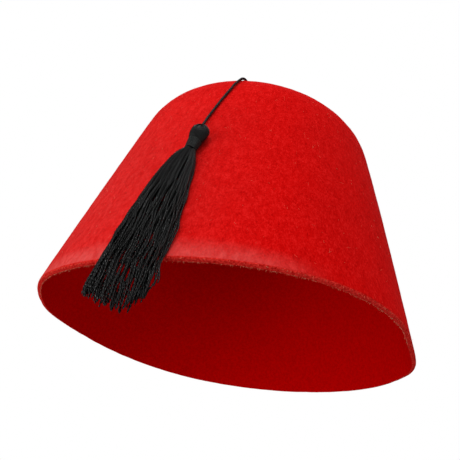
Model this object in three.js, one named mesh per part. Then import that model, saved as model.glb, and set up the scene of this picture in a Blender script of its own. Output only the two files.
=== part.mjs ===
// Fez: a moulded felt cap held up as a head holds it, with a twisted cord and a tassel.
// Millimetres, +Z up, origin at the centre of the head opening.
// Azimuths are in degrees from +X towards +Y, and a path is the distance up the felt from its rim,
// which goes below zero where the tassel hangs past the rim.
import * as THREE from "three";

// Felt cap
const rimRadius = 95;
const crownRadius = 62.1; // where the wall's line would meet the crown
const capHeight = 125.5;
const crownCornerRadius = 24.4;
const feltThickness = 2.5;
const wallBulge = 0.16;
const cordHoleRadius = 1.4;
const capAzimuthSteps = 88;
const wallSteps = 8;
const cornerSteps = 6;
const crownRings = [28, 14, 5]; // radii between the corner and the cord hole

// Soft felt is never quite round or level: each entry is a number of crests round the cap, the azimuth
// of one of them, and how far they stand out, as a share of the radius, or rise. The rim has a few
// short bends too.
const rimBulges = [
  { crests: 2, azimuth: 48.5, share: 0.022 },
  { crests: 3, azimuth: 41, share: 0.0175 },
];
const crownBulges = [{ crests: 2, azimuth: 46, share: 0.012 }];
const rimWaves = [
  { crests: 2, azimuth: -19.5, height: 1.7 },
  { crests: 3, azimuth: -62.5, height: 1.1 },
];
const rimBends = [
  { azimuth: -23, out: -1.4, up: 0.4 },
  { azimuth: 0, out: 2.4, up: -0.2 },
  { azimuth: 20, out: 1.2, up: 0.2 },
  { azimuth: 172, out: 1.5, up: -0.2 },
  { azimuth: 199, out: -0.2, up: 0.4 },
];
const rimBendWidth = 11; // degrees to each side

// Cord and tassel
const cordDiameter = 1.4;
const cordSides = 8;
const cordStep = 2.5 * cordDiameter;
const knotRadius = 3.2;
const knotHeight = 4.4;
const pieceGap = 0.4;
const headTop = { path: 71.6, azimuth: 252.1, out: 4.4 };
const headBottom = { path: 56.6, azimuth: 250.9, out: 3.3 };
const knobLength = 10.2;
const knobRadius = 4.4;
const knobDepthScale = 0.86;
const knobLobe = 0.05;
const neckRadius = 2.7;
const headSides = 24;
const skirtSides = 20;
const skirtGap = 0.5;
const skirtSquareness = 0.8; // 1 is a true ellipse, and less is boxier
const hangBend = 60; // length over which hanging strands would turn from the wall's slope to plumb

const black = new THREE.Color(0x1b1a1c);

// Route of the cord's middle, from the knot up through the crown and down the wall to the tassel
const cordRoute = [
  [0, 0, 122.9],
  [0, 0, 124.8],
  [-0.1, -0.6, 126.2],
  [-0.5, -2.4, 127],
  [-1.1, -5.2, 126.8],
  [-2, -9.6, 126.5],
  [-3.6, -16.8, 126.4],
  [-5.5, -25.8, 126.4],
  [-7.8, -36.6, 126.4],
  [-9, -42.5, 126.4],
  [-10.1, -47.5, 125.8],
  [-11.1, -52.4, 124.3],
  [-12.2, -56.8, 121.7],
  [-13.1, -60.6, 118.3],
  [-13.9, -63.1, 115.1],
  [-16, -65.7, 109.1],
  [-17.8, -66.9, 103.5],
  [-20.7, -68.6, 94.8],
  [-23.1, -70.3, 86.5],
  [-24.8, -71.5, 80.4],
  [-25.3, -73.4, 76.3],
  [-25.4, -75.4, 73.5],
  [-25.4, -77.2, 71.5],
];

const skirtSections = [
  { path: 56.2, azimuth: 250.6, width: 6.2, thickness: 5 },
  { path: 54, azimuth: 249.9, width: 9.2, thickness: 5.8 },
  { path: 50, azimuth: 249.4, width: 12.6, thickness: 6.4 },
  { path: 44, azimuth: 248.8, width: 15.6, thickness: 7 },
  { path: 36.5, azimuth: 248.4, width: 18, thickness: 7.4 },
  { path: 28, azimuth: 247.9, width: 20.4, thickness: 7.6 },
  { path: 18, azimuth: 247.7, width: 22, thickness: 7.6 },
  { path: 8, azimuth: 247.4, width: 23.8, thickness: 7.4 },
  { path: 0, azimuth: 247, width: 25, thickness: 7.2 },
  { path: -6, azimuth: 246.7, width: 26, thickness: 7 },
  { path: -11, azimuth: 246.5, width: 26.2, thickness: 6.8 },
  { path: -15, azimuth: 246.6, width: 26, thickness: 6.4 },
  { path: -18.5, azimuth: 246.8, width: 24, thickness: 6 },
  { path: -21.5, azimuth: 247.3, width: 18.6, thickness: 5.4 },
  { path: -24.2, azimuth: 248.2, width: 11.6, thickness: 4.6 },
];

// What follows from those sizes
const wallLean = Math.atan2(rimRadius - crownRadius, capHeight);
const cornerTurn = Math.PI / 2 - wallLean;
const cornerSetback = crownCornerRadius * Math.tan(cornerTurn / 2);
const wallLength = Math.hypot(rimRadius - crownRadius, capHeight) - cornerSetback;
const cornerCentre = {
  radius: crownRadius - cornerSetback,
  height: capHeight - crownCornerRadius,
};

// Radius, height and outward lean of the true outer face of a round cap, at a path up the wall
function wallProfile(path) {
  if (path < 0) {
    const drop = -path;
    const turned = Math.min(drop / hangBend, 1);
    const spread = wallLean * hangBend * (turned - (turned * turned) / 2);
    return { radius: rimRadius + spread, height: path, lean: wallLean * (1 - turned) };
  }
  const along = path / wallLength;
  const bulge = wallBulge * 4 * along * (1 - along);
  return {
    radius: rimRadius - path * Math.sin(wallLean) + bulge * Math.cos(wallLean),
    height: path * Math.cos(wallLean) + bulge * Math.sin(wallLean),
    lean: wallLean,
  };
}

function crestsAt(entries, key, azimuth) {
  return entries.reduce((sum, entry) => {
    const fromCrest = azimuth - THREE.MathUtils.degToRad(entry.azimuth);
    return sum + entry[key] * Math.cos(entry.crests * fromCrest);
  }, 0);
}

function bendsAt(key, azimuth) {
  return rimBends.reduce((sum, bend) => {
    const from = azimuth - THREE.MathUtils.degToRad(bend.azimuth);
    const away = Math.abs(Math.atan2(Math.sin(from), Math.cos(from)));
    const spread = away / THREE.MathUtils.degToRad(rimBendWidth);
    return sum + bend[key] * Math.exp(-spread * spread);
  }, 0);
}

// Turns a point of the round cap into its place on the bulging, waving one
function shapeCap(point) {
  const azimuth = Math.atan2(point.y, point.x);
  const rimShare = THREE.MathUtils.clamp(1 - point.z / capHeight, 0, 1);
  const radius = Math.hypot(point.x, point.y);
  const stretch =
    1 +
    rimShare * crestsAt(rimBulges, "share", azimuth) +
    (1 - rimShare) * crestsAt(crownBulges, "share", azimuth) +
    (rimShare ** 2 * bendsAt("out", azimuth)) / Math.max(radius, crownRadius);
  point.x *= stretch;
  point.y *= stretch;
  point.z +=
    rimShare ** 3 * (crestsAt(rimWaves, "height", azimuth) + bendsAt("up", azimuth));
  return point;
}

// A point that stands out from the felt's outer face, and to one side of an azimuth
function onFelt({ path, azimuth, out = 0, across = 0 }) {
  const { radius, height, lean } = wallProfile(path);
  const turned = THREE.MathUtils.degToRad(azimuth) + across / radius;
  const reach = radius + out * Math.cos(lean);
  return shapeCap(
    new THREE.Vector3(
      reach * Math.cos(turned),
      reach * Math.sin(turned),
      height + out * Math.sin(lean),
    ),
  );
}

function shapeVertices(geometry, shape) {
  const position = geometry.getAttribute("position");
  const point = new THREE.Vector3();
  for (let i = 0; i < position.count; i++) {
    shape(point.fromBufferAttribute(position, i));
    position.setXYZ(i, point.x, point.y, point.z);
  }
  geometry.computeVertexNormals();
  return geometry;
}

// A solid of revolution about +Z from [radius, height] pairs that run upwards on the outside
function turned(profile, sides) {
  const points = profile.map(([radius, height]) => new THREE.Vector2(radius, height));
  return new THREE.LatheGeometry(points, sides).rotateX(Math.PI / 2);
}

// One face of the cap's wall, corner and crown, inset from the outer face
function capFace(inset) {
  const face = [];
  for (let i = 0; i <= wallSteps; i++) {
    const { radius, height, lean } = wallProfile((i / wallSteps) * wallLength);
    face.push([radius - inset * Math.cos(lean), height - inset * Math.sin(lean)]);
  }
  for (let i = 1; i <= cornerSteps; i++) {
    const angle = wallLean + (i / cornerSteps) * cornerTurn;
    const reach = crownCornerRadius - inset;
    face.push([
      cornerCentre.radius + reach * Math.cos(angle),
      cornerCentre.height + reach * Math.sin(angle),
    ]);
  }
  for (const radius of [...crownRings, cordHoleRadius]) {
    face.push([radius, capHeight - inset]);
  }
  return face;
}

function feltShell() {
  const outer = capFace(0);
  const inner = capFace(feltThickness).reverse();
  const profile = [...outer, ...inner, outer[0]];
  return shapeVertices(turned(profile, capAzimuthSteps), shapeCap);
}

function tasselCord() {
  const route = new THREE.CatmullRomCurve3(
    cordRoute.map((point) => new THREE.Vector3(...point)),
    false,
    "centripetal",
  );
  const section = new THREE.Shape();
  for (let i = 0; i < cordSides; i++) {
    const angle = ((i + 0.5) / cordSides) * 2 * Math.PI;
    const x = (cordDiameter / 2) * Math.cos(angle);
    const y = (cordDiameter / 2) * Math.sin(angle);
    if (i === 0) section.moveTo(x, y);
    else section.lineTo(x, y);
  }
  section.closePath();
  return new THREE.ExtrudeGeometry(section, {
    steps: Math.ceil(route.getLength() / cordStep) + 6,
    extrudePath: route,
    bevelEnabled: false,
  });
}

// The knot that stops the cord under the crown
function cordKnot() {
  const profile = [];
  const steps = 8;
  for (let i = 0; i <= steps; i++) {
    const angle = (i / steps - 0.5) * Math.PI;
    profile.push([knotRadius * Math.cos(angle), (knotHeight / 2) * Math.sin(angle)]);
  }
  profile[0][0] = 0;
  profile[steps][0] = 0;
  return turned(profile, 16);
}

// The folded heads of the strands, a bulb with a shallow lobe to each side of the cord
function tasselKnob() {
  const profile = [
    [0, 0],
    [0.62, 0],
    [0.72, 0.14],
    [0.92, 0.38],
    [1, 0.6],
    [0.94, 0.78],
    [0.76, 0.91],
    [0.48, 0.98],
    [0, 1],
  ].map(([radius, height]) => [radius * knobRadius, height * knobLength]);
  return shapeVertices(turned(profile, headSides), (point) => {
    const side = Math.cos(2 * Math.atan2(point.y, point.x));
    const upper = THREE.MathUtils.clamp(point.z / knobLength, 0, 1);
    point.x *= 1 + knobLobe * side * upper;
    point.y *= (1 + knobLobe * side * upper) * knobDepthScale;
  });
}

// The thread wound round the strands below the knob
function tasselNeckWrap(length) {
  const edge = 0.6;
  return turned(
    [
      [0, 0],
      [neckRadius - edge, 0],
      [neckRadius, edge],
      [neckRadius, length - edge],
      [neckRadius - edge, length],
      [0, length],
    ],
    headSides,
  ).scale(1, knobDepthScale, 1);
}

// The outer form of the hanging strands, which lie on the wall and then drop past the rim
function tasselSkirt() {
  const signedPower = (value) => Math.sign(value) * Math.abs(value) ** skirtSquareness;
  const rings = skirtSections.map(({ path, azimuth, width, thickness }) => {
    const ring = [];
    for (let i = 0; i < skirtSides; i++) {
      const angle = (i / skirtSides) * 2 * Math.PI;
      const across = (width / 2) * signedPower(Math.cos(angle));
      const out = skirtGap + (thickness / 2) * (1 + signedPower(Math.sin(angle)));
      ring.push(onFelt({ path, azimuth, out, across }));
    }
    return ring;
  });
  const middle = (ring) =>
    ring
      .reduce((sum, point) => sum.add(point), new THREE.Vector3())
      .divideScalar(ring.length);
  const points = [...rings.flat(), middle(rings[0]), middle(rings.at(-1))];
  const topMiddle = points.length - 2;
  const bottomMiddle = points.length - 1;
  const lastRing = (rings.length - 1) * skirtSides;
  const faces = [];
  for (let i = 0; i < skirtSides; i++) {
    const next = (i + 1) % skirtSides;
    faces.push(topMiddle, next, i);
    faces.push(bottomMiddle, lastRing + i, lastRing + next);
    for (let ring = 0; ring < lastRing; ring += skirtSides) {
      const below = ring + skirtSides;
      faces.push(ring + i, below + next, below + i);
      faces.push(ring + i, ring + next, below + next);
    }
  }
  const geometry = new THREE.BufferGeometry().setFromPoints(points);
  geometry.setIndex(faces);
  geometry.computeVertexNormals();
  return geometry;
}

function piece(name, geometry, color, roughness) {
  const material = new THREE.MeshStandardMaterial({ color, roughness, metalness: 0 });
  const mesh = new THREE.Mesh(geometry, material);
  mesh.name = name;
  return mesh;
}

// Knob and neck stand on one line down the wall: x across it, y out from it, z up it
function tasselHead() {
  const bottom = onFelt(headBottom);
  const top = onFelt(headTop);
  const up = top.clone().sub(bottom);
  const length = up.length();
  up.normalize();
  const across = new THREE.Vector3(bottom.x, bottom.y, 0).cross(up).normalize();
  const outward = up.clone().cross(across);
  const head = new THREE.Group();
  head.position.copy(bottom);
  head.quaternion.setFromRotationMatrix(
    new THREE.Matrix4().makeBasis(across, outward, up),
  );
  const neckLength = length - knobLength - pieceGap;
  const knob = piece("tassel_knob", tasselKnob(), black, 0.7);
  knob.position.z = neckLength + pieceGap;
  head.add(knob, piece("tassel_neck_wrap", tasselNeckWrap(neckLength), black, 0.7));
  return head;
}

const fez = new THREE.Group();
fez.add(piece("felt_shell", feltShell(), new THREE.Color(0xc8110f), 0.95));
fez.add(piece("tassel_cord", tasselCord(), black, 0.7));
const knot = piece("cord_knot", cordKnot(), black, 0.7);
knot.position.z = cordRoute[0][2] - pieceGap - knotHeight / 2;
fez.add(knot);
fez.add(tasselHead());
fez.add(piece("tassel_skirt", tasselSkirt(), black, 0.75));

export default fez;
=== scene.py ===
import math
import random

import bpy
import numpy as np
from mathutils import Matrix, Quaternion, Vector
from mathutils.bvhtree import BVHTree


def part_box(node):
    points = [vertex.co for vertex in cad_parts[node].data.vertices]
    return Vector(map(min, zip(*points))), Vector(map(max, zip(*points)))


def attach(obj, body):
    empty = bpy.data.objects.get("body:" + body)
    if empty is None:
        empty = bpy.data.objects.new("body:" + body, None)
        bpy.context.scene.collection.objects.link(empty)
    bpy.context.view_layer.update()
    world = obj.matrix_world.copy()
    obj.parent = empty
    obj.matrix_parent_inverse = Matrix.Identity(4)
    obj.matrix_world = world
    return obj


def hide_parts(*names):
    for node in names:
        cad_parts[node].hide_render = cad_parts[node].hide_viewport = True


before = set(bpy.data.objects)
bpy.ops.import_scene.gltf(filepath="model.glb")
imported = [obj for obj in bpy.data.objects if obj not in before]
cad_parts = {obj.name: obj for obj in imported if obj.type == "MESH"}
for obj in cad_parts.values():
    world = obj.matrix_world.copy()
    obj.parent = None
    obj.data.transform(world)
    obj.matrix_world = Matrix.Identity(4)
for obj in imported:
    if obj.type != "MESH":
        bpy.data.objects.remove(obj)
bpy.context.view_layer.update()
mm = 0.001
goldenShare = 0.618  # steps by this share never line up
fullTurn = 6.28  # near enough to a whole turn for a wave
print("frame loaded")


def toLinear(hexColour):
    channels = []
    for i in (0, 2, 4):
        value = int(hexColour[i:i + 2], 16) / 255
        channels.append(value / 12.92 if value <= 0.04045 else ((value + 0.055) / 1.055) ** 2.4)
    return (*channels, 1.0)


def selectOnly(obj):
    bpy.ops.object.select_all(action="DESELECT")
    obj.hide_set(False)
    obj.select_set(True)
    bpy.context.view_layer.objects.active = obj


def editMode(obj, selected="DESELECT"):
    selectOnly(obj)
    bpy.ops.object.mode_set(mode="EDIT")
    bpy.ops.mesh.select_all(action=selected)


def objectMode():
    bpy.ops.object.mode_set(mode="OBJECT")


def applyModifier(obj, kind, **settings):
    selectOnly(obj)
    modifier = obj.modifiers.new(kind.lower(), kind)
    for key, value in settings.items():
        setattr(modifier, key, value)
    bpy.ops.object.modifier_apply(modifier=modifier.name)


def join(pieces, name):
    bpy.ops.object.select_all(action="DESELECT")
    for piece in pieces:
        piece.select_set(True)
    bpy.context.view_layer.objects.active = pieces[0]
    bpy.ops.object.join()
    pieces[0].name = name
    pieces[0].data.name = name
    return pieces[0]


def smoothStep(x):
    x = np.clip(x, 0, 1)
    return x * x * (3 - 2 * x)


# A smooth curve through the points, then even steps along it
def smoothRoute(points, spacing, fineSteps=12):
    points = np.array(points, float)
    ends = np.vstack([2 * points[0] - points[1], points, 2 * points[-1] - points[-2]])
    fine = []
    for before, here, after, beyond in zip(ends, ends[1:], ends[2:], ends[3:]):
        for t in np.linspace(0, 1, fineSteps, endpoint=False):
            fine.append(0.5 * (2 * here + (after - before) * t
                               + (2 * before - 5 * here + 4 * after - beyond) * t ** 2
                               + (3 * here - before - 3 * after + beyond) * t ** 3))
    return evenSteps(np.vstack([fine, points[-1]]), spacing)


def evenSteps(points, spacing):
    gone = np.r_[0, np.cumsum(np.linalg.norm(np.diff(points, axis=0), axis=1))]
    count = max(2, round(gone[-1] / spacing) + 1)
    wanted = np.linspace(0, gone[-1], count)
    return np.stack([np.interp(wanted, gone, points[:, k]) for k in range(3)], axis=1)


# waist is how deep the groove between plies goes, as a share of the yarn's radius
yarn = {"waist": {2: 0.26, 3: 0.6}, "fullness": 0.6, "mergeWithin": 1e-7}


# Outline of a twisted yarn cut across: one round bulge for each ply
def plyOutline(name, diameter, plies, pointsPerPly):
    outline = bpy.data.curves.new(name, "CURVE")
    outline.dimensions = "2D"
    count = plies * pointsPerPly
    spline = outline.splines.new("POLY")
    spline.points.add(count - 1)
    waist = yarn["waist"][plies]
    for i in range(count):
        angle = 2 * math.pi * i / count
        bulge = 0.5 + 0.5 * math.cos(plies * angle)
        reach = diameter / 2 * (waist + (1 - waist) * bulge ** yarn["fullness"])
        spline.points[i].co = (reach * math.cos(angle), reach * math.sin(angle), 0, 1)
    spline.use_cyclic_u = True
    outlineObject = bpy.data.objects.new(name, outline)
    bpy.context.scene.collection.objects.link(outlineObject)
    return outlineObject


# Yarns of several plies: each route is swept with its outline turning as it goes
def twistedYarns(name, routes, diameter, plies, pitch, pointsPerPly=4, thickness=None):
    outline = plyOutline(name + "_outline", diameter, plies, pointsPerPly)
    data = bpy.data.curves.new(name, "CURVE")
    data.dimensions = "3D"
    data.twist_mode = "MINIMUM"
    data.bevel_mode = "OBJECT"
    data.bevel_object = outline
    data.use_fill_caps = True
    for number, route in enumerate(routes):
        spline = data.splines.new("POLY")
        spline.points.add(len(route) - 1)
        gone = np.r_[0, np.cumsum(np.linalg.norm(np.diff(route, axis=0), axis=1))]
        radius = np.ones(len(route)) if thickness is None else thickness(number, gone)
        flat = np.c_[route, np.ones(len(route))]
        spline.points.foreach_set("co", flat.ravel())
        spline.points.foreach_set("radius", radius)
        spline.points.foreach_set("tilt", 2 * math.pi * (gone / pitch + goldenShare * number))
    threads = bpy.data.objects.new(name, data)
    bpy.context.scene.collection.objects.link(threads)
    selectOnly(threads)
    bpy.ops.object.convert(target="MESH")
    bpy.data.objects.remove(outline)
    closeMesh(threads)
    return threads


def closeMesh(threads):
    editMode(threads, "SELECT")
    bpy.ops.mesh.remove_doubles(threshold=yarn["mergeWithin"])
    bpy.ops.mesh.normals_make_consistent(inside=False)
    objectMode()
    bpy.ops.object.shade_smooth()


# Loose fibres: thin four-sided hairs that taper towards their tips
def fibres(name, routes, diameter, tipShare=0.25):
    data = bpy.data.curves.new(name, "CURVE")
    data.dimensions = "3D"
    data.bevel_depth = diameter / 2
    data.bevel_resolution = 0
    data.use_fill_caps = True
    for route in routes:
        spline = data.splines.new("POLY")
        spline.points.add(len(route) - 1)
        spline.points.foreach_set("co", np.c_[route, np.ones(len(route))].ravel())
        spline.points.foreach_set("radius", np.linspace(1, tipShare, len(route)))
    hairs = bpy.data.objects.new(name, data)
    bpy.context.scene.collection.objects.link(hairs)
    selectOnly(hairs)
    bpy.ops.object.convert(target="MESH")
    closeMesh(hairs)
    return hairs


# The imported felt, asked where its outer face lies
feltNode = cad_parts["felt_shell"]
feltTree = BVHTree.FromPolygons([v.co[:] for v in feltNode.data.vertices],
                                [p.vertices[:] for p in feltNode.data.polygons])
wall = {"lean": math.radians(14.7), "reach": 0.2, "hangBend": 60 * mm, "lowest": -1 * mm}


def wallRadius(azimuth, height):
    outward = Vector((math.cos(azimuth), math.sin(azimuth), 0))
    start = outward * wall["reach"] + Vector((0, 0, height))
    return (feltTree.ray_cast(start, -outward)[0].xy).length


# A point out from the felt's outer face; below the rim it follows how threads hang
def onFelt(azimuth, height, out, across):
    drop = max(0.0, wall["lowest"] - height)
    bend = min(drop / wall["hangBend"], 1)
    lean = wall["lean"] * (1 - bend)
    radius = wallRadius(azimuth, max(height, wall["lowest"]))
    radius += wall["lean"] * wall["hangBend"] * (bend - bend * bend / 2) + out * math.cos(lean)
    turned = azimuth + across / radius
    return (radius * math.cos(turned), radius * math.sin(turned), height + out * math.sin(lean))


# places in mm; seen from just below the rim, on the tassel's side
camera = {"place": (0.6, -267.4, -81.3), "aim": (-7.5, 0.1, 62.8), "roll": 10.3, "lens": 42.25,
          "nearest": 10}


def makeCamera():
    place, aim = Vector(camera["place"]) * mm, Vector(camera["aim"]) * mm
    bpy.ops.object.camera_add(location=place)
    made = bpy.context.object
    made.name = "camera"
    made.rotation_mode = "QUATERNION"
    level = (aim - place).to_track_quat("-Z", "Y")
    made.rotation_quaternion = level @ Quaternion((0, 0, 1), math.radians(camera["roll"]))
    made.data.lens = camera["lens"]
    made.data.clip_start = camera["nearest"] * mm
    bpy.context.scene.camera = made


makeCamera()
print("camera placed")


def addNode(tree, kind, settings=None, links=None):
    node = tree.nodes.new("ShaderNode" + kind)
    for key, value in (settings or {}).items():
        if isinstance(key, int) or key in node.inputs:
            node.inputs[key].default_value = value
        else:
            setattr(node, key, value)
    for key, source in (links or {}).items():
        tree.links.new(source, node.inputs[key])
    return node


def newMaterial(name):
    material = bpy.data.materials.new(name)
    material.use_nodes = True
    tree = material.node_tree
    tree.nodes.clear()
    return material, tree


def perSize(size):
    return 1 / (size * mm)


# Pressed needled polyester felt: matt, with no weave, so the eye gets a fine mottle of short matted
# fibres combed a little up and down, a broad unevenness where a hand has pressed it, and painted
# sheen: a pale pink band painted low on the wall's front above the cut rim, where loose fuzz catches the
# light, and a fainter painted sheen over the wall's left, towards the left lamps. Its fibres are about
# 0.02 mm across, too fine to show, so the grain is drawn at 0.7 mm
def feltMaterial():
    # The pale pink colour in this table is painted sheen, mixed into the felt colour low on the front and
    # over the left
    felt = {"deep": "b20000", "mid": "cb0504", "pale": "e01a19", "deepAt": 0.34, "midAt": 0.5,
            "paleAt": 0.68, "grain": 0.7, "clump": 2.4, "clumpShare": 0.35, "patch": 26, "patchDark": 0.95,
            "patchLight": 1.04, "comb": 0.6, "relief": 0.3, "paintedSheen": "d86a66", "tint": "fff0ea"}
    material, tree = newMaterial("pressed_red_felt")
    place = addNode(tree, "TexCoord")
    combed = addNode(tree, "Mapping", {"Scale": (1, 1, felt["comb"])}, {"Vector": place.outputs["Object"]})
    grain = addNode(tree, "TexNoise", {"Scale": perSize(felt["grain"]), "Detail": 2, "Roughness": 0.6,
                                       "Distortion": 0.8}, {"Vector": combed.outputs[0]})
    clump = addNode(tree, "TexNoise", {"Scale": perSize(felt["clump"]), "Detail": 3, "Roughness": 0.6},
                    {"Vector": combed.outputs[0]})
    patch = addNode(tree, "TexNoise", {"Scale": perSize(felt["patch"]), "Detail": 2},
                    {"Vector": place.outputs["Object"]})
    mixed = addNode(tree, "Mix", {"data_type": "FLOAT", "Factor": felt["clumpShare"]},
                    {2: grain.outputs["Fac"], 3: clump.outputs["Fac"]})
    ramp = addNode(tree, "ValToRGB", links={"Fac": mixed.outputs[0]})
    ramp.color_ramp.elements[0].position = felt["deepAt"]
    ramp.color_ramp.elements[0].color = toLinear(felt["deep"])
    ramp.color_ramp.elements[1].position = felt["paleAt"]
    ramp.color_ramp.elements[1].color = toLinear(felt["pale"])
    ramp.color_ramp.elements.new(felt["midAt"]).color = toLinear(felt["mid"])
    shade = addNode(tree, "MapRange", {"From Min": 0.3, "From Max": 0.7, "To Min": felt["patchDark"],
                                       "To Max": felt["patchLight"]}, {"Value": patch.outputs["Fac"]})
    colour = addNode(tree, "HueSaturation", links={"Color": ramp.outputs["Color"],
                                                   "Value": shade.outputs["Result"]})
    # Painted sheen: the pale pink is mixed into the felt colour where the sheen mask is high
    withPaintedSheen = addNode(tree, "Mix", {"data_type": "RGBA", 7: toLinear(felt["paintedSheen"])},
                     {0: paintedSheenMask(tree, place, clump), 6: colour.outputs["Color"]})
    relief = addNode(tree, "Bump", {"Strength": 0.55, "Distance": felt["relief"] * mm},
                     {"Height": mixed.outputs[0]})
    surface = addNode(tree, "BsdfPrincipled", {"Roughness": 0.85, "IOR": 1.4, "Specular IOR Level": 0.02,
                                               "Sheen Weight": 0.008, "Sheen Roughness": 0.5,
                                               "Sheen Tint": toLinear(felt["tint"])},
                      {"Base Color": withPaintedSheen.outputs[2], "Normal": relief.outputs["Normal"]})
    addNode(tree, "OutputMaterial", links={"Surface": surface.outputs[0]})
    return material


# How much painted sheen shows: a pale band painted low on the wall's front, where rim fuzz catches the light,
# and a fainter painted sheen over the wall's left, towards the left lamps, weaker higher up.
# Angles are in degrees from the front, minus to the left; heights are in mm
paintedSheen = {"bandTop": 9.0, "bandFoot": -0.5, "band": 0.29, "bandEnds": 24, "bandFull": 2,
         "veil": 0.115, "veilEnds": 14, "veilFull": -58, "fadeTop": 115, "fadeFoot": 45, "fadeLeast": 0.35,
         "thin": 0.6, "dense": 1.2}


# Mask for the painted sheen: a low band on the front where rim fuzz catches the light, plus a veil on the
# left that fades upward, mottled by the felt's clumps
def paintedSheenMask(tree, place, clump):
    apart = addNode(tree, "SeparateXYZ", links={"Vector": place.outputs["Object"]})
    low = addNode(tree, "MapRange", {"interpolation_type": "SMOOTHSTEP", "From Min": paintedSheen["bandTop"] * mm,
                                     "From Max": paintedSheen["bandFoot"] * mm, "To Max": paintedSheen["band"]},
                  {"Value": apart.outputs["Z"]})
    turn = addNode(tree, "Math", {"operation": "ARCTAN2"}, {0: apart.outputs["X"]})
    away = addNode(tree, "Math", {"operation": "MULTIPLY", 1: -1}, {0: apart.outputs["Y"]})
    tree.links.new(away.outputs[0], turn.inputs[1])
    side = addNode(tree, "MapRange", {"interpolation_type": "SMOOTHSTEP",
                                      "From Min": math.radians(paintedSheen["bandEnds"]),
                                      "From Max": math.radians(paintedSheen["bandFull"])},
                   {"Value": turn.outputs[0]})
    both = addNode(tree, "Math", {"operation": "MULTIPLY"}, {0: low.outputs["Result"],
                                                            1: side.outputs["Result"]})
    mottled = addNode(tree, "MapRange", {"From Min": 0.35, "From Max": 0.65, "To Min": paintedSheen["thin"],
                                         "To Max": paintedSheen["dense"]}, {"Value": clump.outputs["Fac"]})
    left = addNode(tree, "MapRange", {"interpolation_type": "SMOOTHSTEP",
                                      "From Min": math.radians(paintedSheen["veilEnds"]),
                                      "From Max": math.radians(paintedSheen["veilFull"]), "To Max": paintedSheen["veil"]},
                   {"Value": turn.outputs[0]})
    fading = addNode(tree, "MapRange", {"From Min": paintedSheen["fadeTop"] * mm, "From Max": paintedSheen["fadeFoot"] * mm,
                                        "To Min": paintedSheen["fadeLeast"]}, {"Value": apart.outputs["Z"]})
    lower = addNode(tree, "Math", {"operation": "MULTIPLY"}, {0: left.outputs["Result"],
                                                             1: fading.outputs["Result"]})
    either = addNode(tree, "Math", {"operation": "ADD"}, {0: both.outputs[0], 1: lower.outputs[0]})
    return addNode(tree, "Math", {"operation": "MULTIPLY", "use_clamp": True},
                   {0: either.outputs[0], 1: mottled.outputs["Result"]}).outputs[0]


# The felt's inner face, pressed smooth against the block: matt, the same red with almost no grain or fuzz
def innerFeltMaterial():
    inner = {"deep": "c00000", "pale": "d20101", "deepAt": 0.35, "paleAt": 0.65, "grain": 1.4, "relief": 0.15}
    material, tree = newMaterial("blocked_red_felt_inner_face")
    place = addNode(tree, "TexCoord")
    grain = addNode(tree, "TexNoise", {"Scale": perSize(inner["grain"]), "Detail": 3},
                    {"Vector": place.outputs["Object"]})
    ramp = addNode(tree, "ValToRGB", links={"Fac": grain.outputs["Fac"]})
    ramp.color_ramp.elements[0].position = inner["deepAt"]
    ramp.color_ramp.elements[0].color = toLinear(inner["deep"])
    ramp.color_ramp.elements[1].position = inner["paleAt"]
    ramp.color_ramp.elements[1].color = toLinear(inner["pale"])
    relief = addNode(tree, "Bump", {"Strength": 0.2, "Distance": inner["relief"] * mm},
                     {"Height": grain.outputs["Fac"]})
    surface = addNode(tree, "BsdfPrincipled", {"Roughness": 0.95, "IOR": 1.4, "Specular IOR Level": 0.02},
                      {"Base Color": ramp.outputs["Color"], "Normal": relief.outputs["Normal"]})
    addNode(tree, "OutputMaterial", links={"Surface": surface.outputs[0]})
    return material


# The cut through the felt's thickness: bare matted fibre, so a coarse speckle of deep and pale red
def cutFeltMaterial():
    cut = {"deep": "b00404", "pale": "f83c34", "deepAt": 0.35, "paleAt": 0.68, "fibre": 0.8, "relief": 0.4}
    material, tree = newMaterial("cut_felt_edge")
    place = addNode(tree, "TexCoord")
    fibre = addNode(tree, "TexNoise", {"Scale": perSize(cut["fibre"]), "Detail": 3, "Roughness": 0.7},
                    {"Vector": place.outputs["Object"]})
    ramp = addNode(tree, "ValToRGB", links={"Fac": fibre.outputs["Fac"]})
    ramp.color_ramp.elements[0].position = cut["deepAt"]
    ramp.color_ramp.elements[0].color = toLinear(cut["deep"])
    ramp.color_ramp.elements[1].position = cut["paleAt"]
    ramp.color_ramp.elements[1].color = toLinear(cut["pale"])
    relief = addNode(tree, "Bump", {"Strength": 0.8, "Distance": cut["relief"] * mm},
                     {"Height": fibre.outputs["Fac"]})
    surface = addNode(tree, "BsdfPrincipled", {"Roughness": 0.9, "IOR": 1.4, "Specular IOR Level": 0.02},
                      {"Base Color": ramp.outputs["Color"], "Normal": relief.outputs["Normal"]})
    addNode(tree, "OutputMaterial", links={"Surface": surface.outputs[0]})
    return material


# Loose fibres standing off the felt: paler and pinker than the mass, as single fibres scatter light
def fuzzMaterial():
    loose = {"deep": "c83a2a", "pale": "f4b490"}
    material, tree = newMaterial("loose_felt_fibre")
    island = addNode(tree, "NewGeometry")
    ramp = addNode(tree, "ValToRGB", links={"Fac": island.outputs["Random Per Island"]})
    ramp.color_ramp.elements[0].color = toLinear(loose["deep"])
    ramp.color_ramp.elements[1].color = toLinear(loose["pale"])
    surface = addNode(tree, "BsdfPrincipled", {"Roughness": 0.7, "Specular IOR Level": 0.2},
                      {"Base Color": ramp.outputs["Color"]})
    addNode(tree, "OutputMaterial", links={"Surface": surface.outputs[0]})
    return material


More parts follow.
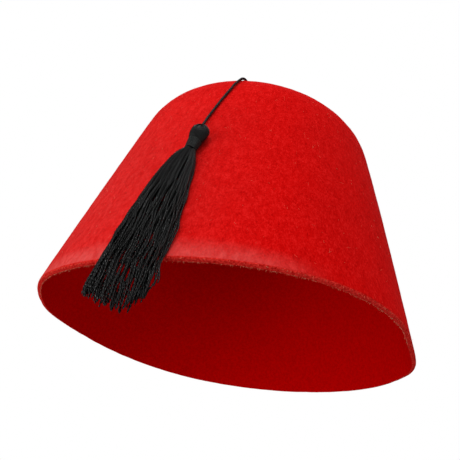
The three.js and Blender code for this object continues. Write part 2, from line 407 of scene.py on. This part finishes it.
# Filament rayon or polyester thread, twisted: near black, with a hard narrow glint on each ply, so
# the eye gets a sparkle along the strands instead of an even grey. Its filaments are about 0.015 mm
# across, too fine to show, so they are drawn at 0.35 mm
def threadMaterial(name, dark, pale, roughness, glint):
    thread = {"fibre": 0.35, "along": 0.25, "darkAt": 0.05, "paleAt": 0.6, "relief": 0.08}
    material, tree = newMaterial(name)
    place = addNode(tree, "TexCoord")
    drawn = addNode(tree, "Mapping", {"Scale": (1, 1, thread["along"])}, {"Vector": place.outputs["Object"]})
    fibre = addNode(tree, "TexNoise", {"Scale": perSize(thread["fibre"]), "Detail": 2},
                    {"Vector": drawn.outputs[0]})
    island = addNode(tree, "NewGeometry")
    mixed = addNode(tree, "Math", {"operation": "MULTIPLY"},
                    {0: fibre.outputs["Fac"], 1: island.outputs["Random Per Island"]})
    ramp = addNode(tree, "ValToRGB", links={"Fac": mixed.outputs[0]})
    ramp.color_ramp.elements[0].position = thread["darkAt"]
    ramp.color_ramp.elements[0].color = toLinear(dark)
    ramp.color_ramp.elements[1].position = thread["paleAt"]
    ramp.color_ramp.elements[1].color = toLinear(pale)
    relief = addNode(tree, "Bump", {"Strength": 0.4, "Distance": thread["relief"] * mm},
                     {"Height": fibre.outputs["Fac"]})
    surface = addNode(tree, "BsdfPrincipled", {"Roughness": roughness, "IOR": 1.5,
                                               "Specular IOR Level": glint},
                      {"Base Color": ramp.outputs["Color"], "Normal": relief.outputs["Normal"]})
    addNode(tree, "OutputMaterial", links={"Surface": surface.outputs[0]})
    return material


feltFinish = feltMaterial()
innerFinish = innerFeltMaterial()
cutFinish = cutFeltMaterial()
fuzzFinish = fuzzMaterial()
cordFinish = threadMaterial("twisted_rayon_cord", "080404", "160c0d", 0.35, 0.3)
strandFinish = threadMaterial("two_ply_rayon_thread", "020202", "0b0b0c", 0.2, 0.26)
wrapFinish = threadMaterial("wound_sewing_thread", "0a0c0b", "1a1d1c", 0.28, 0.3)
print("materials made")


def finishPiece(piece, material, slotName, *nodes):
    piece.data.materials.clear()
    piece.data.materials.append(material)
    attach(piece, "root")
    if nodes:
        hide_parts(*nodes)


cord = {"diameter": 1.4, "plies": 3, "pitch": 4.2, "step": 0.5, "pointsPerPly": 6}
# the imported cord's route in mm: up through the crown, over its edge and down the wall
cordRoute = [
    (0, 0, 122.9), (0, 0, 124.8), (-0.1, -0.6, 126.2), (-0.5, -2.4, 127), (-1.1, -5.2, 126.8),
    (-2, -9.6, 126.5), (-3.6, -16.8, 126.4), (-5.5, -25.8, 126.4), (-7.8, -36.6, 126.4),
    (-9, -42.5, 126.4), (-10.1, -47.5, 125.8), (-11.1, -52.4, 124.3), (-12.2, -56.8, 121.7),
    (-13.1, -60.6, 118.3), (-13.9, -63.1, 115.1), (-16, -65.7, 109.1), (-17.8, -66.9, 103.5),
    (-20.7, -68.6, 94.8), (-23.1, -70.3, 86.5), (-24.8, -71.5, 80.4), (-25.3, -73.4, 76.3),
    (-25.4, -75.4, 73.5), (-25.4, -77.2, 71.5),
]


def makeCord():
    route = smoothRoute(np.array(cordRoute) * mm, cord["step"] * mm)
    piece = twistedYarns("twisted_cord", [route], cord["diameter"] * mm, cord["plies"],
                         cord["pitch"] * mm, pointsPerPly=cord["pointsPerPly"])
    finishPiece(piece, cordFinish, "cord", "tassel_cord")
    return piece, route


knot = {"size": 0.72, "lift": 0.75, "points": 90}


# An overhand knot pulled up small, as a trefoil
def makeKnot():
    low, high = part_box("cord_knot")
    middle = np.array((low + high) / 2)
    angle = np.linspace(0, 2 * math.pi, knot["points"])
    route = np.stack([np.sin(angle) + 2 * np.sin(2 * angle),
                      np.cos(angle) - 2 * np.cos(2 * angle),
                      -np.sin(3 * angle) * knot["lift"] / knot["size"]], axis=1)
    piece = twistedYarns("cord_end_knot", [route * knot["size"] * mm + middle],
                         cord["diameter"] * mm, cord["plies"], cord["pitch"] * mm,
                         pointsPerPly=cord["pointsPerPly"])
    finishPiece(piece, cordFinish, "cord", "cord_knot")
    return piece


cordPiece, cordPath = makeCord()
knotPiece = makeKnot()
print("cord made")


# The head's line, from the wound neck up through the knob of folded strands
def headAxes():
    neckLow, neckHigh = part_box("tassel_neck_wrap")
    knobLow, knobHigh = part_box("tassel_knob")
    neckMiddle, knobMiddle = (neckLow + neckHigh) / 2, (knobLow + knobHigh) / 2
    up = (knobMiddle - neckMiddle).normalized()
    across = Vector((neckMiddle.x, neckMiddle.y, 0)).cross(up).normalized()
    return neckMiddle, knobMiddle, Matrix((across, up.cross(across), up)).transposed()


neckMiddle, knobMiddle, headTurn = headAxes()
knob = {"length": 10.4, "radius": 4.5, "depth": 0.84, "strands": 32, "thread": 0.82, "pitch": 3.0,
        "foot": 0.66, "swellStart": 0.06, "swellLength": 0.86, "swellShape": 1.15, "shoulder": 0.6,
        "crownShape": 2.4, "slit": 0.72, "slitWidth": 0.3, "slitLean": math.radians(12), "slitFoot": 0.35,
        "slitRise": 0.5, "uneven": 0.2, "drift": 0.12, "top": 0.985, "points": 24, "coreTop": 0.96,
        "coreInset": 0.75}


# Distance from the head's line to a strand's middle: a bulb, pinched where the slit runs
def knobReach(angle, rise):
    swollen = min(1, max(0, rise * knob["swellLength"] + knob["swellStart"]))
    swell = math.sin(math.pi * swollen ** knob["swellShape"])
    bulb = knob["foot"] + (1 - knob["foot"]) * swell
    aboveShoulder = max(0, (rise - knob["shoulder"]) / (1 - knob["shoulder"]))
    crown = math.sqrt(max(0.0, 1 - aboveShoulder ** knob["crownShape"]))
    fromSlit = math.remainder(angle - math.pi / 2 - knob["slitLean"], math.pi)
    opened = smoothStep((rise - knob["slitFoot"]) / knob["slitRise"])
    pinch = 1 - knob["slit"] * math.exp(-(fromSlit / knob["slitWidth"]) ** 2) * opened
    return knob["radius"] * bulb * crown * float(pinch)


def knobPoint(angle, rise, inset=0.0):
    reach = max(0.0, knobReach(angle, rise) - inset)
    point = Vector((reach * math.cos(angle), reach * math.sin(angle) * knob["depth"],
                    (rise - 0.5) * knob["length"]))
    return knobMiddle + headTurn @ point * mm


def makeKnob():
    draw = random.Random(4)
    routes = []
    for i in range(knob["strands"]):
        angle = 2 * math.pi * (i + draw.uniform(-knob["uneven"], knob["uneven"])) / knob["strands"]
        drift = draw.uniform(-knob["drift"], knob["drift"])
        rises = np.linspace(0.0, knob["top"] - draw.uniform(0, 0.02), knob["points"])
        inset = knob["thread"] / 2 + draw.uniform(0, 0.25)
        route = [knobPoint(angle + drift * rise, rise, inset) for rise in rises]
        routes.append(evenSteps(np.array(route), knob["pitch"] / 10 * mm))
    threads = twistedYarns("folded_strands", routes, knob["thread"] * mm, 2, knob["pitch"] * mm)
    bpy.ops.object.select_all(action="DESELECT")
    bpy.ops.mesh.primitive_uv_sphere_add(segments=36, ring_count=20, radius=1)
    core = bpy.context.object
    for vertex in core.data.vertices:
        rise = 0.5 + 0.5 * vertex.co.z
        angle = math.atan2(vertex.co.y, vertex.co.x)
        vertex.co = knobPoint(angle, rise * knob["coreTop"], knob["thread"] * knob["coreInset"])
    bpy.ops.object.shade_smooth()
    piece = join([threads, core], "folded_strand_knob")
    finishPiece(piece, strandFinish, "tassel_thread", "tassel_knob")
    return piece


neck = {"length": 5.6, "top": 3.3, "bottom": 2.75, "depth": 0.9, "thread": 0.5, "turns": 12, "slant": 0.35,
        "pitch": 1.6, "pointsPerTurn": 40, "coreHalf": 0.46, "coreInset": 0.75}


def neckPoint(angle, share, extra=0.0):
    reach = neck["bottom"] + (neck["top"] - neck["bottom"]) * share + extra
    point = Vector((reach * math.cos(angle), reach * math.sin(angle) * neck["depth"],
                    (share - 0.5) * neck["length"] + neck["slant"] * math.cos(angle)))
    return neckMiddle + headTurn @ point * mm


def makeNeckWrap():
    steps = neck["pointsPerTurn"]
    route = [neckPoint(2 * math.pi * i / steps, i / steps / neck["turns"], -neck["thread"] / 2)
             for i in range(steps * neck["turns"] + 1)]
    threads = twistedYarns("wound_thread", [np.array(route)], neck["thread"] * mm, 2,
                           neck["pitch"] * mm)
    bpy.ops.object.select_all(action="DESELECT")
    bpy.ops.mesh.primitive_cylinder_add(vertices=32, radius=1, depth=2)
    core = bpy.context.object
    for vertex in core.data.vertices:
        angle = math.atan2(vertex.co.y, vertex.co.x)
        share = 0.5 + neck["coreHalf"] * vertex.co.z
        vertex.co = neckPoint(angle, share, -neck["thread"] * neck["coreInset"])
    piece = join([threads, core], "wound_neck")
    finishPiece(piece, wrapFinish, "wrap_thread", "tassel_neck_wrap")
    return piece


knobPiece = makeKnob()
neckPiece = makeNeckWrap()
print("tassel head made")


# Outline of the hanging bundle, from the neck down: middle azimuth in degrees, sizes in mm
skirtRows = [
    {"height": 53.9, "azimuth": 250.6, "width": 5.6, "thick": 4.6},
    {"height": 51.7, "azimuth": 249.9, "width": 8.4, "thick": 5.0},
    {"height": 47.7, "azimuth": 249.4, "width": 11.8, "thick": 5.4},
    {"height": 41.8, "azimuth": 248.8, "width": 14.8, "thick": 5.6},
    {"height": 34.3, "azimuth": 248.4, "width": 17.0, "thick": 5.8},
    {"height": 25.8, "azimuth": 247.9, "width": 19.4, "thick": 5.8},
    {"height": 15.7, "azimuth": 247.7, "width": 20.6, "thick": 5.8},
    {"height": 5.5, "azimuth": 247.4, "width": 22.4, "thick": 5.6},
    {"height": -2.6, "azimuth": 247.0, "width": 23.4, "thick": 5.4},
    {"height": -8.6, "azimuth": 246.7, "width": 24.2, "thick": 5.4},
    {"height": -17.6, "azimuth": 246.7, "width": 25.0, "thick": 5.4},
    {"height": -29.0, "azimuth": 247.2, "width": 24.0, "thick": 5.4},
]
# How low the tips come across the bundle, from its left side at -1 to its right at 1
tipRows = {"side": [-1, -0.3, 0.25, 0.7, 1], "height": [-20.0, -24.6, -27.0, -26.2, -20.5]}
# lengths in mm down a strand: it lies settled on the felt by settledAfter and waves freely by freeAfter
skirt = {"strands": 118, "pieces": 3, "thread": 0.86, "pitch": 3.0, "gap": 0.5, "inward": 0.9, "spread": 1.45,
         "uneven": 0.05, "settledAfter": 12, "freeAfter": 45, "wave": 0.8, "outWave": 0.45, "outLift": 1.3,
         "shortWave": (10, 17), "longWave": (20, 40), "shortShare": 0.3, "points": 90,
         "tipRagged": 2.6, "shortOnes": 0.1, "shorterBy": (2, 7), "tipThin": 0.35, "tipLength": 1.2,
         "strays": 7, "strayAway": (0.8, 2.4), "strayTip": (-20, -12), "strayFrom": 14, "strayOver": 30}


def skirtAt(key, height):
    rows = skirtRows[::-1]
    return np.interp(height, [row["height"] for row in rows], [row[key] for row in rows])


# One strand: side runs from -1 to 1 over the width and layer from 0 to 1 out from the felt
def strandRoute(draw, side, layer, tip, stray=0.0):
    waves = [(draw.uniform(*skirt["shortWave"]), draw.uniform(0, fullTurn), skirt["shortShare"]),
             (draw.uniform(*skirt["longWave"]), draw.uniform(0, fullTurn), 1.0)]
    outWaves = [(length * 1.2, phase + 2, share) for length, phase, share in waves]
    heights = np.linspace(skirtRows[0]["height"], tip, skirt["points"])
    route = []
    for height in heights:
        fallen = skirtRows[0]["height"] - height
        freedom = float(smoothStep(fallen / skirt["freeAfter"]))
        width, thick = skirtAt("width", height), skirtAt("thick", height)
        wobble = sum(share * math.sin(fallen / length * fullTurn + phase) for length, phase, share in waves)
        lift = sum(share * math.sin(fallen / length * fullTurn + phase) for length, phase, share in outWaves)
        roundness = math.sqrt(max(0, 1 - side * side))
        rounded = thick / 2 * (1 + (2 * layer - 1) * roundness)
        lying = thick * layer * (0.25 + 0.75 * roundness)
        settled = float(smoothStep(fallen / skirt["settledAfter"]))
        out = skirt["gap"] + rounded * (1 - settled) + lying * settled
        out += skirt["wave"] * skirt["outWave"] * freedom * (lift + skirt["outLift"])
        across = side * width / 2 + skirt["wave"] * freedom * wobble
        across += stray * float(smoothStep((fallen - skirt["strayFrom"]) / skirt["strayOver"]))
        azimuth = math.radians(skirtAt("azimuth", height))
        route.append(onFelt(azimuth, height * mm, out * mm, across * mm))
    return evenSteps(np.array(route), skirt["pitch"] / 9 * mm)


def makeSkirt():
    draw = random.Random(11)
    routes = []
    for i in range(skirt["strands"]):
        layer = ((i * goldenShare) % 1) ** skirt["inward"]
        side = -1 + 2 * (i + 0.5) / skirt["strands"] + draw.uniform(-skirt["uneven"], skirt["uneven"])
        side = math.sin(side * skirt["spread"]) / math.sin(skirt["spread"])
        tip = np.interp(side, tipRows["side"], tipRows["height"]) + skirt["tipRagged"] * draw.random() ** 1.6
        if draw.random() < skirt["shortOnes"]:
            tip += draw.uniform(*skirt["shorterBy"])
        routes.append(strandRoute(draw, max(-1, min(1, side)), layer, tip))
    for i in range(skirt["strays"]):
        right = i % 3 == 0
        side = draw.uniform(0.85, 1) if right else -draw.uniform(0.85, 1)
        away = draw.uniform(*skirt["strayAway"]) * (1 if right else -1)
        routes.append(strandRoute(draw, side, 0.1, draw.uniform(*skirt["strayTip"]), away))
    draw.shuffle(routes)

    def thickness(number, gone):
        fromTip = gone[-1] - gone
        return 1 - skirt["tipThin"] * smoothStep(1 - fromTip / (skirt["tipLength"] * mm))

    for part in range(skirt["pieces"]):
        piece = twistedYarns("tassel_strands_%d" % (part + 1), routes[part::skirt["pieces"]],
                             skirt["thread"] * mm, 2, skirt["pitch"] * mm, pointsPerPly=3,
                             thickness=thickness)
        finishPiece(piece, strandFinish, "tassel_thread", "tassel_skirt")


makeSkirt()
print("tassel strands made")


# rimHigh is above the highest point of the wavy cut rim
shell = {"outerRound": 1.1, "innerRound": 0.4, "roundSteps": 4, "levels": 2, "lump": 7.0, "lumpHeight": 0.35,
         "rimHigh": 10, "middle": 60}


# Selects the strip that was cut through the felt, and gives its outer and inner corner edges
def cutCorners(piece):
    strip = [p for p in piece.data.polygons if p.normal.z < -0.9 and p.center.z < shell["rimHigh"] * mm]
    used = {}
    for polygon in strip:
        for key in polygon.edge_keys:
            used.setdefault(key, []).append(polygon)
    corners = {"outer": [], "inner": []}
    for key, around in used.items():
        if len(around) == 1:
            middle = (piece.data.vertices[key[0]].co + piece.data.vertices[key[1]].co) / 2
            outer = middle.xy.length > around[0].center.xy.length
            corners["outer" if outer else "inner"].append(key)
    return strip, corners


def bevelEdges(piece, ends, radius):
    editMode(piece)
    bpy.ops.mesh.select_mode(type="EDGE")
    objectMode()
    wanted = [(Vector(a) + Vector(b)) / 2 for a, b in ends]
    known = {tuple(round(x * 1e6) for x in middle) for middle in wanted}
    for edge in piece.data.edges:
        a, b = (piece.data.vertices[i].co for i in edge.vertices)
        edge.select = tuple(round(x * 1e6) for x in (a + b) / 2) in known
    bpy.ops.object.mode_set(mode="EDIT")
    bpy.ops.mesh.bevel(offset=radius * mm, segments=shell["roundSteps"], affect="EDGES")
    bpy.ops.mesh.select_mode(type="VERT")
    objectMode()


def makeFeltShell():
    bpy.ops.object.select_all(action="DESELECT")
    piece = feltNode.copy()
    piece.data = feltNode.data.copy()
    for key in list(piece.keys()):
        del piece[key]
    piece.parent = None
    piece.name = "felt_cap"
    bpy.context.scene.collection.objects.link(piece)
    editMode(piece, "SELECT")
    bpy.ops.mesh.remove_doubles(threshold=0.01 * mm)
    bpy.ops.mesh.tris_convert_to_quads(face_threshold=math.pi, shape_threshold=math.pi)
    objectMode()
    finishPiece(piece, feltFinish, "felt", "felt_shell")
    piece.data.materials.append(innerFinish)
    piece.data.materials.append(cutFinish)
    strip, corners = cutCorners(piece)
    heart = Vector((0, 0, shell["middle"] * mm))
    for polygon in piece.data.polygons:
        polygon.material_index = 1 if polygon.normal.dot(polygon.center - heart) < 0 else 0
    for polygon in strip:
        polygon.material_index = 2
    ends = {side: [tuple(piece.data.vertices[i].co.copy() for i in key) for key in keys]
            for side, keys in corners.items()}
    bevelEdges(piece, ends["outer"], shell["outerRound"])
    bevelEdges(piece, ends["inner"], shell["innerRound"])
    applyModifier(piece, "SUBSURF", levels=shell["levels"], render_levels=shell["levels"])
    for polygon in piece.data.polygons:
        low = polygon.center.z < shell["rimHigh"] * mm
        if polygon.material_index == 0 and polygon.normal.z < -0.15 and low:
            polygon.material_index = 2
    lumps = bpy.data.textures.new("felt_lumps", "CLOUDS")
    lumps.noise_scale = shell["lump"] * mm
    lumps.noise_depth = 2
    applyModifier(piece, "DISPLACE", texture=lumps, texture_coords="LOCAL",
                  strength=shell["lumpHeight"] * mm, mid_level=0.5)
    selectOnly(piece)
    bpy.ops.object.shade_smooth()
    print("felt cap faces", len(piece.data.polygons))
    return ends


capRim = makeFeltShell()
print("felt cap made")


# rubbed is the stretch of rim, in degrees, whose cut edge has been teased up
fuzz = {"rim": 2000, "rimThick": 0.09, "rimLength": (0.3, 0.9), "rubbed": (-172, -22),
        "wall": 900, "wallThick": 0.06, "wallLength": (0.7, 1.9), "wallLift": (0.25, 0.9), "wallSag": 0.4,
        "curl": 0.5, "droop": 0.6}


# A short curling hair that leaves a place in one direction and sags towards another
def hair(draw, place, away, sag, length):
    steps = [0, 0.3, 0.65, 1]
    bend = Vector((draw.gauss(0, 1), draw.gauss(0, 1), draw.gauss(0, 1))) * fuzz["curl"]
    return [place + (away * t + (sag + bend) * t * t * fuzz["droop"]) * length * mm for t in steps]


def rimFibres():
    draw = random.Random(21)
    routes = []
    for i in range(fuzz["rim"]):
        side = "outer" if i % 6 == 0 else "inner"
        a, b = draw.choice(capRim[side])
        place = a.lerp(b, draw.random())
        first, last = fuzz["rubbed"]
        if not math.radians(first) < math.atan2(place.y, place.x) < math.radians(last):
            continue
        outward = Vector((place.x, place.y, 0)).normalized()
        place = place + outward * (-0.5 if side == "outer" else 0.25) * mm + Vector((0, 0, 0.15 * mm))
        away = Vector((0, 0, -1)) + outward * draw.gauss(0, 0.7)
        away += outward.cross(Vector((0, 0, 1))) * draw.gauss(0, 0.8)
        length = draw.uniform(*fuzz["rimLength"])
        routes.append(hair(draw, place, away.normalized(), Vector((0, 0, 0)), length))
    return routes


def wallFibres():
    draw = random.Random(22)
    routes = []
    while len(routes) < fuzz["wall"]:
        azimuth, height = draw.uniform(0, 2 * math.pi), draw.uniform(2, 127) * mm
        outward = Vector((math.cos(azimuth), math.sin(azimuth), 0))
        place, normal, _, _ = feltTree.ray_cast(outward * wall["reach"] + Vector((0, 0, height)), -outward)
        if place is None:
            continue
        along = Vector((draw.gauss(0, 1), draw.gauss(0, 1), draw.gauss(0, 1))).cross(normal).normalized()
        away = (along + normal * draw.uniform(*fuzz["wallLift"])).normalized()
        length = draw.uniform(*fuzz["wallLength"])
        routes.append(hair(draw, place, away, -normal * fuzz["wallSag"], length))
    return routes


finishPiece(fibres("rim_fuzz", rimFibres(), fuzz["rimThick"] * mm), fuzzFinish, "felt")
finishPiece(fibres("wall_fuzz", wallFibres(), fuzz["wallThick"] * mm), fuzzFinish, "felt")
print("felt fibres made")


studio = {"floorDepth": 1.0, "floorSize": 40, "floor": "cfcecc", "backdrop": "ffffff", "white": 1.0,
          "ambient": 0.1}


def makeStudio():
    bpy.ops.object.select_all(action="DESELECT")
    bpy.ops.mesh.primitive_plane_add(size=studio["floorSize"], location=(0, 0, -studio["floorDepth"]))
    floor = bpy.context.object
    floor.name = "floor"
    paint, tree = newMaterial("pale_floor_paint")
    surface = addNode(tree, "BsdfPrincipled", {"Base Color": toLinear(studio["floor"]), "Roughness": 0.8})
    addNode(tree, "OutputMaterial", links={"Surface": surface.outputs[0]})
    floor.data.materials.append(paint)

    world = bpy.data.worlds.new("studio")
    bpy.context.scene.world = world
    world.use_nodes = True
    tree = world.node_tree
    tree.nodes.clear()
    seen = addNode(tree, "LightPath")
    strength = addNode(tree, "MapRange", {"To Min": studio["ambient"], "To Max": studio["white"]},
                       {"Value": seen.outputs["Is Camera Ray"]})
    light = addNode(tree, "Background", {"Color": toLinear(studio["backdrop"])},
                    {"Strength": strength.outputs["Result"]})
    addNode(tree, "OutputWorld", links={"Surface": light.outputs[0]})
    bpy.context.scene.view_settings.view_transform = "Standard"


# Softboxes round the hat, by azimuth and elevation in degrees, all at one distance
lamps = [
    {"name": "left_softbox", "azimuth": 210, "elevation": -15, "power": 9.2},
    {"name": "right_softbox", "azimuth": 330, "elevation": -15, "power": 3.1},
    {"name": "front_softbox", "azimuth": 270, "elevation": 35, "power": 7.8},
    {"name": "small_key", "azimuth": 246, "elevation": 38, "power": 1.3, "size": 0.04},
    {"name": "back_softbox", "azimuth": 90, "elevation": 35, "power": 4.0},
    {"name": "top_softbox", "azimuth": 0, "elevation": 88, "power": 4.0},
]
softbox = {"size": 1.1, "distance": 1.1, "aim": 0.06}


def makeLamps():
    for lamp in lamps:
        azimuth, elevation = math.radians(lamp["azimuth"]), math.radians(lamp["elevation"])
        away = Vector((math.cos(azimuth) * math.cos(elevation),
                       math.sin(azimuth) * math.cos(elevation), math.sin(elevation)))
        place = away * softbox["distance"] + Vector((0, 0, softbox["aim"]))
        bpy.ops.object.light_add(type="AREA", location=place)
        light = bpy.context.object
        light.name = lamp["name"]
        light.data.size = lamp.get("size", softbox["size"])
        light.data.energy = lamp["power"]
        light.visible_camera = False
        light.rotation_euler = away.to_track_quat("Z", "Y").to_euler()


makeStudio()
makeLamps()
print("studio made")
